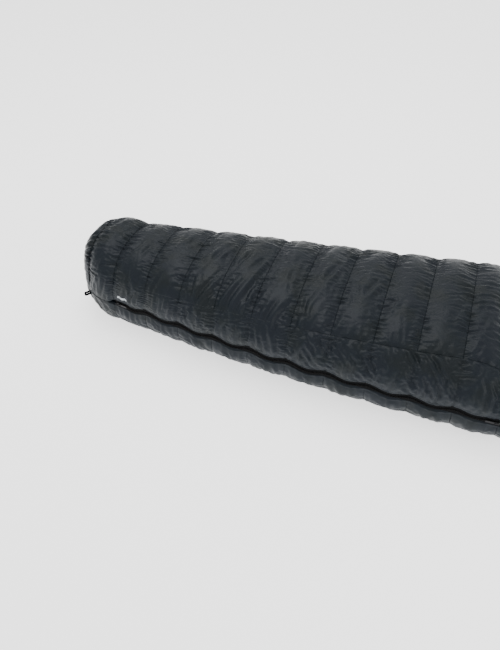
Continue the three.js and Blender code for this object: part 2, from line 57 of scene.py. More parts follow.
bag = {
    "height": 0.320,
    "crease": 0.140,  # height of the side seams, where the zip runs
    "pressed": 0.003,
    "footSeam": 0.205,
    "footRise": 0.042,
    "pitch": 0.145,  # one chamber along the bag
    "chambers": 11,
    "shoulderBack": 0.724,  # in chambers
    "footHalfZip": 0.205,
    "footHalfFar": 0.225,
    "shoulderHalf": 0.392,
    "zipBulge": 0.035,
    "toe": 0.078,  # seam round the end panel
    "up": 2.5,  # superellipse exponents of the sections and outlines
    "down": 3.2,
    "toeCurve": {"near": 1.9, "far": 3.2, "up": 3, "down": 1.9},
    "dome": 2.3,
}
hood = {
    "length": 0.375,
    "half": 0.225,
    "height": 0.225,
    "taperEnd": 0.155,
    "domeStart": 0.175,
    "crownSeam": 0.233,
    "endSeam": 0.315,
    "openingHalf": 0.140,
    "openingEnd": 0.225,
    "rimStart": 0.023,
    "endShare": 0.3,
}
loft = {"top": 0.052, "bottom": 0.043, "side": 0.042}
zipLine = {
    "edge": 0.0134,  # crease line to the folded edge of the shell
    "groove": 0.0072,  # how far that edge lies in from the fullest shape
    "wave": 0.0075,  # rise of the zip at each seam, and its fall between seams
    "tapeInset": 0.009,
    "tapeReach": 0.0155,
    "slot": 0.0008,
    "start": 0.006,
    "headBack": 0.030,
    "tail": 0.028,
}
chin = bag["footSeam"] + bag["chambers"] * bag["pitch"]
total = chin + hood["length"]
shoulder = chin - bag["shoulderBack"] * bag["pitch"]
seams = bag["footSeam"] + bag["pitch"] * np.arange(bag["chambers"] + 1)


def atX(s):
    return s - total / 2


def smooth(v, low, high):
    t = np.clip((v - low) / (high - low), 0, 1)
    return t * t * (3 - 2 * t)


def mix(a, b, t):
    return a + (b - a) * t


# The zip side of the outline is an arc of a circle from the first seam to the shoulder.
def zipArc():
    a = np.array([atX(bag["footSeam"]), -bag["footHalfZip"]])
    b = np.array([atX(shoulder), -bag["shoulderHalf"]])
    chord = b - a
    length = np.hypot(*chord)
    radius = (length**2 / 4 + bag["zipBulge"] ** 2) / (2 * bag["zipBulge"])
    inward = np.array([-chord[1], chord[0]]) / length
    return radius, (a + b) / 2 + inward * (radius - bag["zipBulge"])


arcRadius, arcCentre = zipArc()


def footShare(s, side):
    toe = np.clip(1 - s / bag["footSeam"], 0, 0.985)
    n = bag["toeCurve"][side]
    return (1 - toe**n) ** (1 / n)


def headShare(s):
    crown = np.clip((s - chin - hood["domeStart"]) / (hood["length"] - hood["domeStart"]), 0, 0.985)
    return np.maximum(hood["endShare"], (1 - crown ** bag["dome"]) ** (1 / bag["dome"]))


def halves(s):
    along = np.clip(s, bag["footSeam"], shoulder)
    taper = smooth(s, shoulder, chin + hood["taperEnd"])
    head = headShare(s)
    zipHalf = np.sqrt(arcRadius**2 - (atX(along) - arcCentre[0]) ** 2) - arcCentre[1]
    share = (along - bag["footSeam"]) / (shoulder - bag["footSeam"])
    farHalf = mix(bag["footHalfFar"], bag["shoulderHalf"], share)
    zipHalf = mix(zipHalf, hood["half"], taper) * footShare(s, "near") * head
    return zipHalf, mix(farHalf, hood["half"], taper) * footShare(s, "far") * head


def heights(s):
    top = mix(bag["height"], hood["height"], smooth(s, shoulder - 0.160, chin))
    rise = bag["footRise"] * np.clip(1 - s / bag["footSeam"], 0, 1)
    head = mix(1, headShare(s), 0.8)
    up = (top - bag["crease"] + rise) * footShare(s, "up") * head
    return up, bag["crease"] * footShare(s, "down") * head + bag["pressed"]


# Points of the section at s, for angles from 0 at the zip over the top to half a turn at the far
# crease, negative underneath. inset is a share of the loft, 0 outside and 1 at the lining.
def section(s, angle, inset=0.0, extra=0.0):
    zipHalf, farHalf = halves(s)
    up, down = heights(s)
    c, sn = np.cos(angle), np.sin(angle)
    over = sn > 0
    n = np.where(over, bag["up"], bag["down"])
    side = np.where(c > 0, zipHalf, farHalf) - inset * loft["side"] - extra
    rise = np.where(over, up - inset * loft["top"] - extra, down - inset * loft["bottom"] - extra)
    y = -np.sign(c) * side * np.abs(c) ** (2 / n)
    z = bag["crease"] + np.sign(sn) * rise * np.abs(sn) ** (2 / n)
    return np.stack([np.full_like(y, atX(s)), y, z], -1)


def angleAtRise(s, rise):
    up, down = heights(s)
    share = rise / up if rise > 0 else -rise / down
    n = bag["up"] if rise > 0 else bag["down"]
    return math.copysign(math.asin(min(1, share) ** (n / 2)), rise)


def longSeamAngle(s):
    foot, head = (math.asin(k ** (bag["up"] / 2)) for k in (0.53, 0.83))
    share = min(1, (s - bag["footSeam"]) / (shoulder - bag["footSeam"]))
    return foot + (head - foot) * share


# Points along a section from one angle to another, spaced evenly along the cloth.
def evenSection(s, angles, counts, inset=0.0):
    parts = []
    for a, b, count in zip(angles[:-1], angles[1:], counts):
        t = np.linspace(0, 1, 240)
        fine = section(s, a + (b - a) * t, inset)
        run = np.concatenate([[0], np.cumsum(np.linalg.norm(np.diff(fine, axis=0), axis=1))])
        want = np.linspace(0, run[-1], count + 1)
        part = np.stack([np.interp(want, run, fine[:, k]) for k in range(3)], -1)
        parts.append(part if not parts else part[1:])
    return np.concatenate(parts)


def gridNormals(grid):
    du = np.gradient(grid, axis=0)
    dv = np.gradient(grid, axis=1)
    normal = np.cross(du, dv)
    return normal / np.maximum(np.linalg.norm(normal, axis=-1, keepdims=True), 1e-12)


def outward(grid):
    normal = gridNormals(grid)
    centre = np.array([0, 0, bag["crease"]])
    away = grid - centre
    away[..., 0] = 0
    sign = np.sign(np.sum(normal * away, axis=-1).mean())
    return normal * sign


# Mesh helpers
def makePiece(name, points, faces, material, smoothFaces=True):
    mesh = bpy.data.meshes.new(name)
    mesh.from_pydata([tuple(p) for p in points], [], faces)
    mesh.validate()
    mesh.polygons.foreach_set("use_smooth", [smoothFaces] * len(mesh.polygons))
    mesh.materials.append(material)
    mesh.update()
    piece = bpy.data.objects.new(name, mesh)
    bpy.context.scene.collection.objects.link(piece)
    return piece


def gridFaces(columns, rows, first=0, turned=False, closed=False):
    i, j = np.meshgrid(np.arange(columns - 1), np.arange(rows if closed else rows - 1), indexing="ij")
    a = first + i * rows + j
    b = first + i * rows + (j + 1) % rows
    quads = np.stack([a, a + rows, b + rows, b] if turned else [a, b, b + rows, a + rows], -1)
    return quads.reshape(-1, 4).tolist()


def facesOut(mesh):
    work = bmesh.new()
    work.from_mesh(mesh)
    bmesh.ops.recalc_face_normals(work, faces=work.faces)
    work.to_mesh(mesh)
    work.free()


# Twice as many points each way, on smooth curves through the ones there are.
def finer(grid):
    for axis in (0, 1):
        g = np.moveaxis(grid, axis, 0)
        padded = np.concatenate([2 * g[:1] - g[1:2], g, 2 * g[-1:] - g[-2:-1]])
        middle = (-padded[:-3] + 9 * padded[1:-2] + 9 * padded[2:-1] - padded[3:]) / 16
        out = np.empty((2 * len(g) - 1, *g.shape[1:]))
        out[::2] = g
        out[1::2] = middle
        grid = np.moveaxis(out, 0, axis)
    return grid


# A closed padded piece: a fine outer face, walls at its edges and a plain inner face.
def paddedPiece(name, outer, inner, material):
    columns, rows = outer.shape[:2]
    points = np.concatenate([outer.reshape(-1, 3), inner[0], inner[-1]])
    faces = gridFaces(columns, rows)
    low, high = columns * rows, columns * rows + rows
    last = (columns - 1) * rows
    for j in range(rows - 1):
        faces.append([j + 1, j, low + j, low + j + 1])
        faces.append([last + j, last + j + 1, high + j + 1, high + j])
        faces.append([low + j + 1, low + j, high + j, high + j + 1])
    end = rows - 1
    faces.append([i * rows for i in range(columns)] + [high, low])
    faces.append([i * rows + end for i in reversed(range(columns))] + [low + end, high + end])
    piece = makePiece(name, points, faces, material)
    facesOut(piece.data)
    return piece


# Cloth simulation of one face of the bag. The seams are pinned, the cloth between them is cut
# larger than the space, and the down pushes it out.
fabric = {
    "excess": -0.012,
    "pressure": 4.0,
    "frames": 20,
    "quality": 5,
    "mass": 0.15,
    "tension": 25,
    "compression": 15,
    "shear": 5,
    "bending": 0.02,
    "mostMove": 0.012,
}


def simulate(name, grid, pins, push, settings=fabric, floor=None):
    columns, rows = grid.shape[:2]
    faces = gridFaces(columns, rows, turned=True)
    piece = makePiece(name, grid.reshape(-1, 3), faces, taffeta)
    pinned = piece.vertex_groups.new(name="pinned")
    pushed = piece.vertex_groups.new(name="pushed")
    for group, weights in ((pinned, pins), (pushed, push)):
        flat = weights.reshape(-1)
        for value in np.unique(np.round(flat, 2)):
            if value > 0:
                group.add(np.nonzero(np.round(flat, 2) == value)[0].tolist(), float(value), "REPLACE")
    cloth = piece.modifiers.new("Cloth", "CLOTH")
    cloth.settings.quality = settings["quality"]
    cloth.settings.mass = settings["mass"]
    cloth.settings.tension_stiffness = settings["tension"]
    cloth.settings.compression_stiffness = settings["compression"]
    cloth.settings.shear_stiffness = settings["shear"]
    cloth.settings.bending_stiffness = settings["bending"]
    cloth.settings.vertex_group_mass = "pinned"
    cloth.settings.use_pressure = True
    cloth.settings.uniform_pressure_force = settings["pressure"]
    cloth.settings.vertex_group_pressure = "pushed"
    cloth.settings.shrink_min = settings["excess"]
    cloth.settings.effector_weights.gravity = 0
    cloth.collision_settings.use_collision = False
    cloth.collision_settings.use_self_collision = False
    cloth.point_cache.frame_start = 1
    cloth.point_cache.frame_end = settings["frames"]
    scene = bpy.context.scene
    for step in range(1, settings["frames"] + 1):
        scene.frame_set(step)
    view = piece.evaluated_get(bpy.context.evaluated_depsgraph_get())
    moved = np.empty(columns * rows * 3)
    view.data.vertices.foreach_get("co", moved)
    bpy.data.objects.remove(piece)
    scene.frame_set(1)
    shift = moved.reshape(grid.shape) - grid
    size = np.linalg.norm(shift, axis=-1, keepdims=True)
    usual, most = (round(float(v) * 1000, 1) for v in (size.mean(), size.max()))
    print(name, "cloth moved", usual, "mm, most", most)
    shift *= np.minimum(1, settings["mostMove"] / np.maximum(size, 1e-9))
    out = grid + shift
    if floor is not None:
        out[..., 2] = np.maximum(out[..., 2], floor)
    return out


# Materials
def linear(hexCode):
    values = [int(hexCode[i : i + 2], 16) / 255 for i in (0, 2, 4)]
    return [v / 12.92 if v <= 0.04045 else ((v + 0.055) / 1.055) ** 2.4 for v in values] + [1.0]


def addNode(tree, kind, inputs=None, **settings):
    node = tree.nodes.new(kind)
    for key, value in settings.items():
        setattr(node, key, value)
    for key, value in (inputs or {}).items():
        if isinstance(value, bpy.types.NodeSocket):
            tree.links.new(value, node.inputs[key])
        else:
            node.inputs[key].default_value = value
    return node


def newMaterial(name):
    material = bpy.data.materials.new(name)
    material.use_nodes = True
    tree = material.node_tree
    shader = tree.nodes["Principled BSDF"]
    return material, tree, shader


# Thin calendered nylon taffeta, woven fine and pressed between hot rollers, so it is dark and
# slightly glossy. Its uneven blue-grey and olive-grey patches are painted reflection. Its weave is
# finer than shows, so it is drawn coarser, with the small crinkles of a stuffed cloth.
def nylonTaffeta():
    material, tree, shader = newMaterial("nylonTaffeta")
    place = addNode(tree, "ShaderNodeTexCoord").outputs["Object"]
    # painted reflection: large blue-grey and olive-grey blotches in the base colour
    paintedReflectionNoise = {"Vector": place, "Scale": 9.0, "Detail": 3.0, "Roughness": 0.55}
    patches = addNode(tree, "ShaderNodeTexNoise", paintedReflectionNoise)
    tones = addNode(tree, "ShaderNodeValToRGB", {"Fac": patches.outputs["Fac"]})
    tones.color_ramp.elements[0].position = 0.38
    tones.color_ramp.elements[0].color = linear("141A21")
    tones.color_ramp.elements[1].position = 0.62
    tones.color_ramp.elements[1].color = linear("141A1D")
    middle = tones.color_ramp.elements.new(0.5)
    middle.color = linear("131A20")
    crinkled = {"Vector": place, "Scale": 90.0, "Detail": 4.0, "Roughness": 0.6}
    crinkle = addNode(tree, "ShaderNodeTexNoise", crinkled)
    weave = addNode(tree, "ShaderNodeTexNoise", {"Vector": place, "Scale": 900.0, "Detail": 1.0})
    both = {0: weave.outputs["Fac"], 1: 0.12, 2: crinkle.outputs["Fac"]}
    relief = addNode(tree, "ShaderNodeMath", both, operation="MULTIPLY_ADD")
    raised = {"Height": relief.outputs[0], "Strength": 0.35, "Distance": 0.0015}
    bump = addNode(tree, "ShaderNodeBump", raised)
    tree.links.new(tones.outputs["Color"], shader.inputs["Base Color"])
    tree.links.new(bump.outputs["Normal"], shader.inputs["Normal"])
    shader.inputs["Roughness"].default_value = 0.45
    shader.inputs["Sheen Weight"].default_value = 0.01
    shader.inputs["Sheen Roughness"].default_value = 0.4
    shader.inputs["Specular IOR Level"].default_value = 0.18
    return material


# Woven, braided or looped threads: lighter on top, with painted shade darker between. scale is in threads
# a metre.
def plainCloth(name, tone, darker, scale, roughness, strength):
    material, tree, shader = newMaterial(name)
    place = addNode(tree, "ShaderNodeTexCoord").outputs["Object"]
    threads = addNode(tree, "ShaderNodeTexNoise", {"Vector": place, "Scale": scale, "Detail": 3.0})
    # painted shade: the colour runs darker where the threads lie low
    tones = addNode(tree, "ShaderNodeValToRGB", {"Fac": threads.outputs["Fac"]})
    tones.color_ramp.elements[0].color = linear(darker)
    tones.color_ramp.elements[1].color = linear(tone)
    raised = {"Height": threads.outputs["Fac"], "Strength": strength, "Distance": 0.001}
    bump = addNode(tree, "ShaderNodeBump", raised)
    tree.links.new(tones.outputs["Color"], shader.inputs["Base Color"])
    tree.links.new(bump.outputs["Normal"], shader.inputs["Normal"])
    shader.inputs["Roughness"].default_value = roughness
    shader.inputs["Specular IOR Level"].default_value = 0.12
    return material


# A hard surface with a fine grain that breaks up its shine.
def hardFinish(name, tone, roughness, metallic, scale):
    material, tree, shader = newMaterial(name)
    place = addNode(tree, "ShaderNodeTexCoord").outputs["Object"]
    grain = addNode(tree, "ShaderNodeTexNoise", {"Vector": place, "Scale": scale, "Detail": 2.0})
    raised = {"Height": grain.outputs["Fac"], "Strength": 0.15, "Distance": 0.0003}
    bump = addNode(tree, "ShaderNodeBump", raised)
    span = {"Value": grain.outputs["Fac"], "To Min": roughness - 0.06, "To Max": roughness + 0.08}
    wear = addNode(tree, "ShaderNodeMapRange", span)
    tree.links.new(bump.outputs["Normal"], shader.inputs["Normal"])
    tree.links.new(wear.outputs["Result"], shader.inputs["Roughness"])
    shader.inputs["Base Color"].default_value = linear(tone)
    shader.inputs["Metallic"].default_value = metallic
    return material


taffeta = nylonTaffeta()
# Uncalendered taffeta, so it is duller than the shell.
lining = plainCloth("liningTaffeta", "23282C", "191C20", 300, 0.6, 0.2)
# Woven polyester tape, dyed black and matt.
webbing = plainCloth("wovenTape", "07080A", "030405", 700, 0.9, 0.5)
# Extruded nylon thread wound into a coil, black, with a faint brown cast that is painted reflection.
coilPlastic = plainCloth("nylonCoil", "0D0B0B", "060505", 400, 0.6, 0.1)
# Die-cast zinc under thin black paint, which keeps some of the metal's shine.
paintedZinc = hardFinish("paintedZinc", "1B1B1D", 0.35, 0.7, 600)
# Injection-moulded acetal with a fine spark-eroded grain.
moulded = hardFinish("mouldedAcetal", "17181A", 0.45, 0.0, 500)
# Drawn steel wire, bright and bare.
wire = hardFinish("springWire", "B0B0B0", 0.3, 1.0, 400)
# Elastic cord in a braided cover.
braid = plainCloth("braidedElastic", "232629", "121416", 800, 0.8, 0.5)
# Nylon hooks and loops standing off a woven ground, which take the shine away.
pile = plainCloth("hookAndLoopPile", "1A1A1B", "0B0B0B", 900, 0.95, 0.9)
# Pale woven label with nothing on it.
printed = plainCloth("plainLabel", "C4C9CD", "B4BABF", 500, 0.6, 0.2)
# Spun polyester sewing thread.
thread = plainCloth("seamThread", "1A2026", "11161B", 500, 0.7, 0.2)

# Wrinkles: noise drawn out into ridges. wave is the distance between ridges and reach their
# length, both in metres, and tilt turns them from running along the bag (0) to across it (90).
def ridges(shape, spacing, wave, reach, tilt, seed):
    white = np.random.default_rng(seed).normal(size=shape)
    along = np.fft.fftfreq(shape[0], spacing[0])[:, None]
    across = np.fft.fftfreq(shape[1], spacing[1])[None, :]
    c, sn = math.cos(math.radians(tilt)), math.sin(math.radians(tilt))
    onRidge = along * c + across * sn
    offRidge = across * c - along * sn
    keep = np.exp(-(((np.abs(offRidge) - 1 / wave) * wave / 0.45) ** 2))
    keep = keep * np.exp(-((onRidge * reach) ** 2))
    field = np.real(np.fft.ifft2(np.fft.fft2(white) * keep))
    field /= field.std()
    patches = np.exp(-((along * 0.14) ** 2) - ((across * 0.14) ** 2))
    where = np.real(np.fft.ifft2(np.fft.fft2(np.roll(white, 31, axis=1)) * patches))
    where = smooth(where / where.std(), -1.2, 1.2)
    return np.sign(field) * np.abs(field) ** 1.35 * (0.25 + 1.1 * where)


def near(distance, width):
    return np.exp(-((distance / width) ** 2))


def runAcross(grid):
    steps = np.linalg.norm(np.diff(grid, axis=1), axis=2)
    return np.concatenate([np.zeros((len(grid), 1)), np.cumsum(steps, 1)], 1)


# Distance along the bag from each column to its nearest seam.
def seamDistance(columns, lines=seams):
    return np.abs(columns[:, None] - lines[None, :]).min(1)[:, None]


wrinkles = {
    "pucker": 0.0011,  # at the crosswise seams
    "zipPucker": 0.0017,
    "crease": 0.0036,  # long creases across the slack chambers
    "strip": 0.0022,  # slanting ones between the zip and the seam above it
    "fine": 0.0002,
    "highest": 0.0034,  # no ridge is higher: the flap's bend doubles what stands out by the zip
}
# How slack each chamber lies; the foot comes first.
slack = [0.25, 0.2, 0.2, 0.75, 1.0, 1.0, 0.85, 0.5, 0.4, 0.35, 0.4, 0.3]


def columnsOf(perChamber, footColumns):
    foot = np.linspace(bag["toe"], seams[0], footColumns + 1)[:-1]
    return np.concatenate([foot, np.linspace(seams[0], chin, bag["chambers"] * perChamber + 1)])


def chamberOf(columns):
    return np.clip(np.floor((columns - seams[0]) / bag["pitch"]).astype(int) + 1, 0, bag["chambers"])


def zipWave(s):
    footEnd = smooth(s, seams[0] + 0.02, seams[0] + 0.10)
    ends = footEnd * (1 - smooth(s, shoulder - 0.16, shoulder - 0.05))
    return zipLine["wave"] * ends * np.cos(2 * math.pi * (s - seams[0] - 0.008) / bag["pitch"])


def valleyDepth(columns, depth):
    gap = seamDistance(columns, np.append(seams, bag["toe"]))
    return depth * (0.55 * near(gap, 0.014) + 0.45 * near(gap, 0.05))


# The zip runs between the first seam and the shoulder; elsewhere the two faces meet at the crease.
def zipGap(s):
    return zipLine["edge"] * float(smooth(s, seams[0] - 0.03, seams[0] + 0.004)) + 0.0004


def addWrinkles(grid, columns, fromZip, fromFar, seed, strip):
    spacing = (np.diff(columns).mean(), float(np.diff(fromZip, axis=1).mean()))
    gap = seamDistance(columns, np.append(seams, bag["toe"]))
    middles = np.concatenate([[bag["toe"]], seams[:-1] + bag["pitch"] / 2])
    loose = np.interp(columns, middles, slack)[:, None]
    shape = grid.shape[:2]
    w = wrinkles
    nearZip = near(fromZip, 0.085) + 0.6 * near(fromFar, 0.06)
    pucker = w["pucker"] * (1 - 0.8 * np.minimum(1, nearZip))
    height = pucker * ridges(shape, spacing, 0.016, 0.050, 0, seed) * (0.05 + near(gap, 0.026))
    height += pucker * ridges(shape, spacing, 0.028, 0.09, 8, seed + 1) * (0.12 + near(gap, 0.045))
    height += w["zipPucker"] * ridges(shape, spacing, 0.028, 0.13, 84, seed + 2) * nearZip
    height += 0.35 * w["zipPucker"] * ridges(shape, spacing, 0.020, 0.09, 79, seed + 7) * nearZip
    creases = ridges(shape, spacing, 0.044, 0.30, 72, seed + 3)
    creases += 0.4 * ridges(shape, spacing, 0.032, 0.20, 98, seed + 4)
    calm = 1 - 0.75 * smooth(fromZip, 0.34, 0.52)
    height += w["crease"] * loose * calm * creases * (1 - 0.8 * near(gap, 0.02))
    if strip is not None:
        height += w["strip"] * strip * ridges(shape, spacing, 0.030, 0.12, -52, seed + 5)
    height += w["fine"] * ridges(shape, spacing, 0.02, 0.02, 0, seed + 6)
    highest = w["highest"] * (1 + 0.9 * smooth(fromZip, 0.06, 0.25))
    return highest * np.tanh(height / highest)


# Upper face: the grid runs along the bag and over it, from the zip to the far crease.
upper = {"perChamber": 24, "footColumns": 20, "sideRows": 40, "topRows": 150, "valley": 0.0075}
under = {"perChamber": 16, "footColumns": 14, "rows": 130, "valley": 0.0055}


def faceGrid(columns, angles, counts):
    return np.stack([evenSection(s, angles(s), counts) for s in columns])


def upperAngles(s):
    return [angleAtRise(s, zipGap(s)), longSeamAngle(max(s, seams[0])), math.pi - 1e-5]


def lowerAngles(s):
    return [angleAtRise(s, -zipGap(s)), -math.pi + 1e-5]


def upperFace():
    columns = columnsOf(upper["perChamber"], upper["footColumns"])
    grid = faceGrid(columns, upperAngles, [upper["sideRows"], upper["topRows"]])
    normal = outward(grid)
    fromZip = runAcross(grid)
    fromFar = fromZip[:, -1:] - fromZip
    fromLong = fromZip - fromZip[:, upper["sideRows"]][:, None]
    seamFade = smooth(columns, 0.75, 1.15)[:, None]  # the long seam only shows towards the head
    zipped = smooth(columns, seams[0] - 0.03, seams[0] + 0.01)[:, None]
    depth = valleyDepth(columns, upper["valley"]) * smooth(fromFar, -0.02, 0.06)
    depth = depth * (0.15 + 0.85 * smooth(fromZip, 0.004, 0.07))
    depth = np.maximum(depth, 0.0055 * seamFade * near(fromLong, 0.011))
    depth = depth + zipLine["groove"] * zipped * near(fromZip, 0.020) + 0.005 * near(fromFar, 0.02)
    strip = seamFade * (fromLong < 0)
    raised = addWrinkles(grid, columns, fromZip, fromFar, 20, strip)
    raised *= 1 - 0.6 * near(fromLong, 0.008) * seamFade
    raised *= smooth(fromZip, -0.002, 0.028) * smooth(fromFar, -0.001, 0.01)
    grid = grid + normal * (raised - depth)[..., None]
    grid[..., 2] += zipWave(columns)[:, None] * near(fromZip, 0.06)
    pins = np.zeros(grid.shape[:2])
    pins[:, 0] = pins[:, -1] = 1.0
    pins[0] = 1.0
    pins[upper["footColumns"] :: upper["perChamber"]] = 1.0
    pins[:, upper["sideRows"]] = np.maximum(pins[:, upper["sideRows"]], 1.0 * (seamFade[:, 0] > 0.3))
    push = (1.15 - 0.7 * np.array(slack)[chamberOf(columns)])[:, None] * np.ones(grid.shape[1])
    push = np.minimum(1, push * (0.15 + 0.85 * smooth(fromZip, 0.02, 0.14)))
    return columns, simulate("upperCloth", grid, pins, push)


def goesWithFlap(piece):
    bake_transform(piece)
    return piece


def finishPadded(piece, node, moves):
    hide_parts(node)
    if moves:
        goesWithFlap(piece)
    else:
        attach(piece, "bag_base")
    return piece


def makeUpper():
    columns, cloth = upperFace()
    cloth = finer(cloth)
    fine = np.interp(np.arange(2 * len(columns) - 1) / 2, np.arange(len(columns)), columns)
    side, top = 2 * upper["sideRows"], 2 * upper["topRows"]

    def inner(s):
        return evenSection(s, upperAngles(s), [side, top], inset=0.96)

    start = 2 * upper["footColumns"]
    rim = np.stack([inner(bag["toe"] + 0.0005), inner(seams[0] - 0.0005)])
    piece = paddedPiece("footDownUpper", cloth[: start + 1], rim, taffeta)
    finishPadded(piece, "foot_chamber_upper", False)
    per = 2 * upper["perChamber"]
    for i in range(bag["chambers"]):
        rim = np.stack([inner(seams[i] + 0.0005), inner(seams[i + 1] - 0.0005)])
        first = start + i * per
        panel = cloth[first : first + per + 1, side:]
        piece = paddedPiece(f"topDown{i + 1:02d}", panel, rim[:, side:], taffeta)
        finishPadded(piece, f"top_chamber_{i + 1:02d}", True)
    strip = cloth[start:, : side + 1]
    back = np.stack([inner(s)[: side + 1] for s in fine[start:]])
    piece = closedSlab("zipSideDown", strip, back, taffeta)
    finishPadded(piece, "zip_side_chamber", True)
    return fine, cloth


# A closed piece between two grids of the same size.
def closedSlab(name, outer, inner, material):
    columns, rows = outer.shape[:2]
    count = columns * rows
    points = np.concatenate([outer.reshape(-1, 3), inner.reshape(-1, 3)])
    faces = gridFaces(columns, rows) + gridFaces(columns, rows, first=count, turned=True)
    for i in range(columns - 1):
        for j, flip in ((0, True), (rows - 1, False)):
            a, b = i * rows + j, (i + 1) * rows + j
            faces.append([a, b, b + count, a + count] if flip else [b, a, a + count, b + count])
    for j in range(rows - 1):
        for i, flip in ((0, False), (columns - 1, True)):
            a, b = i * rows + j, i * rows + j + 1
            faces.append([a, b, b + count, a + count] if flip else [b, a, a + count, b + count])
    piece = makePiece(name, points, faces, material)
    facesOut(piece.data)
    return piece


def lowerFace():
    columns = columnsOf(under["perChamber"], under["footColumns"])
    grid = faceGrid(columns, lowerAngles, [under["rows"]])
    normal = outward(grid)
    fromZip = runAcross(grid)
    fromFar = fromZip[:, -1:] - fromZip
    zipped = smooth(columns, seams[0] - 0.03, seams[0] + 0.01)[:, None]
    depth = valleyDepth(columns, under["valley"]) * smooth(fromFar, -0.02, 0.06)
    depth = depth * (0.15 + 0.85 * smooth(fromZip, 0.004, 0.07))
    depth = depth + zipLine["groove"] * zipped * near(fromZip, 0.020) + 0.005 * near(fromFar, 0.02)
    raised = 0.6 * addWrinkles(grid, columns, fromZip, fromFar, 60, None)
    raised *= smooth(fromZip, -0.002, 0.028) * smooth(fromFar, -0.001, 0.01)
    grid = grid + normal * (raised - depth)[..., None]
    grid[..., 2] += zipWave(columns)[:, None] * near(fromZip, 0.05)
    grid[..., 2] = np.maximum(grid[..., 2], 0.0)
    pins = np.zeros(grid.shape[:2])
    pins[:, 0] = pins[:, -1] = 1.0
    pins[0] = 1.0
    pins[under["footColumns"] :: under["perChamber"]] = 1.0
    push = np.where(grid[..., 2] < 0.02, 0.1, 0.5) * (0.2 + 0.8 * smooth(fromZip, 0.02, 0.08))
    return columns, simulate("lowerCloth", grid, pins, push, floor=0.0003)


def makeLower():
    columns, cloth = lowerFace()
    cloth = finer(cloth)
    cloth[..., 2] = np.maximum(cloth[..., 2], 0.0003)
    fine = np.interp(np.arange(2 * len(columns) - 1) / 2, np.arange(len(columns)), columns)
    rows = 2 * under["rows"]

    def inner(s):
        return evenSection(s, lowerAngles(s), [rows], inset=0.96)

    start = 2 * under["footColumns"]
    rim = np.stack([inner(bag["toe"] + 0.0005), inner(seams[0] - 0.0005)])
    piece = paddedPiece("footDownLower", cloth[: start + 1], rim, taffeta)
    finishPadded(piece, "foot_chamber_lower", False)
    per = 2 * under["perChamber"]
    for i in range(bag["chambers"]):
        rim = np.stack([inner(seams[i] + 0.0005), inner(seams[i + 1] - 0.0005)])
        first = start + i * per
        piece = paddedPiece(f"underDown{i + 1:02d}", cloth[first : first + per + 1], rim, taffeta)
        finishPadded(piece, f"bottom_chamber_{i + 1:02d}", False)
    return fine, cloth


upperColumns, upperCloth = makeUpper()
print("upper chambers made")
lowerColumns, lowerCloth = makeLower()
print("lower chambers made")


# A rounded end: rings round the whole bag, with a few smaller ones that close its tip.
endShape = {
    "fold": 0.0018,  # height of the short folds
    "lump": 0.0022,  # height of the broad ones
    "seamWidth": 0.016,
    "tip": 0.012,  # how far the tip stands out
    "tipRings": (0.94, 0.8, 0.6, 0.35, 0.12),
}


def endPiece(name, stations, rows, valley, seed, seamAt):
    t = np.linspace(-math.pi, math.pi, rows + 1)[:-1]
    rings = np.stack([section(s, t) for s in stations])
    spacing = (max(1e-3, abs(stations[-1] - stations[0]) / len(stations)), 0.006)
    shape = rings.shape[:2]
    lumps = ridges(shape, spacing, 0.022, 0.05, 0, seed) * endShape["fold"]
    lumps += ridges(shape, spacing, 0.045, 0.08, 30, seed + 1) * endShape["lump"]
    gap = np.abs(stations - seamAt)[:, None]
    inward = rings - rings.mean(axis=1, keepdims=True)
    inward /= np.maximum(np.linalg.norm(inward, axis=-1, keepdims=True), 1e-9)
    raised = lumps * (0.4 + near(gap, 0.03)) - valley * near(gap, endShape["seamWidth"])
    rings = rings + inward * raised[..., None]
    tip = rings[0].mean(axis=0)
    outwardX = np.sign(stations[0] - stations[-1])
    caps = []
    for k in endShape["tipRings"]:
        cap = tip + (rings[0] - tip) * k
        cap[:, 0] += outwardX * endShape["tip"] * (1 - k * k) + 0.4 * lumps[0] * k
        caps.append(cap)
    rings = np.concatenate([np.array(caps[::-1]), rings])
    rings[..., 2] = np.maximum(rings[..., 2], 0.0003)
    peak = tip + [outwardX * (endShape["tip"] + 0.0002), 0, 0]
    points = np.concatenate([rings.reshape(-1, 3), [peak], [rings[-1].mean(axis=0)]])
    count = len(rings) * rows
    faces = gridFaces(len(rings), rows, closed=True)
    last = (len(rings) - 1) * rows
    faces += [[(j + 1) % rows, j, count] for j in range(rows)]
    faces += [[last + j, last + (j + 1) % rows, count + 1] for j in range(rows)]
    piece = makePiece(name, points, faces, taffeta)
    facesOut(piece.data)
    return piece


toeStations = np.concatenate([[0.0, 0.002, 0.005, 0.009], np.linspace(0.014, bag["toe"] - 0.0005, 18)])
footEnd = endPiece("footEndDown", toeStations, 220, 0.006, 90, bag["toe"])
finishPadded(footEnd, "foot_end_chamber", False)
endSeam = chin + hood["endSeam"]
crownStations = np.linspace(0.012, total - chin - hood["endSeam"] - 0.0005, 10)
crownStations = total - np.concatenate([[0.0, 0.003, 0.007], crownStations])
hoodEnd = endPiece("hoodEndDown", crownStations, 180, 0.005, 95, endSeam)
finishPadded(hoodEnd, "hood_end_chamber", False)

# Hood chambers. Each is a wrinkled outer face over a plain inner one.
puff = {"wrinkle": 0.0017, "valley": 0.007, "bulge": 0.004}


def openingSide(s):
    run = np.clip((s - chin - hood["rimStart"]) / (hood["openingEnd"] - hood["rimStart"]), 0, 1)
    return (hood["openingHalf"] + 0.0084) * math.sqrt(max(0, 1 - run**2))


def openingAngle(s, inset):
    side = halves(s)[0] - inset * loft["side"]
    return math.acos(min(1, max(0.0003, openingSide(s)) / side) ** (bag["up"] / 2))


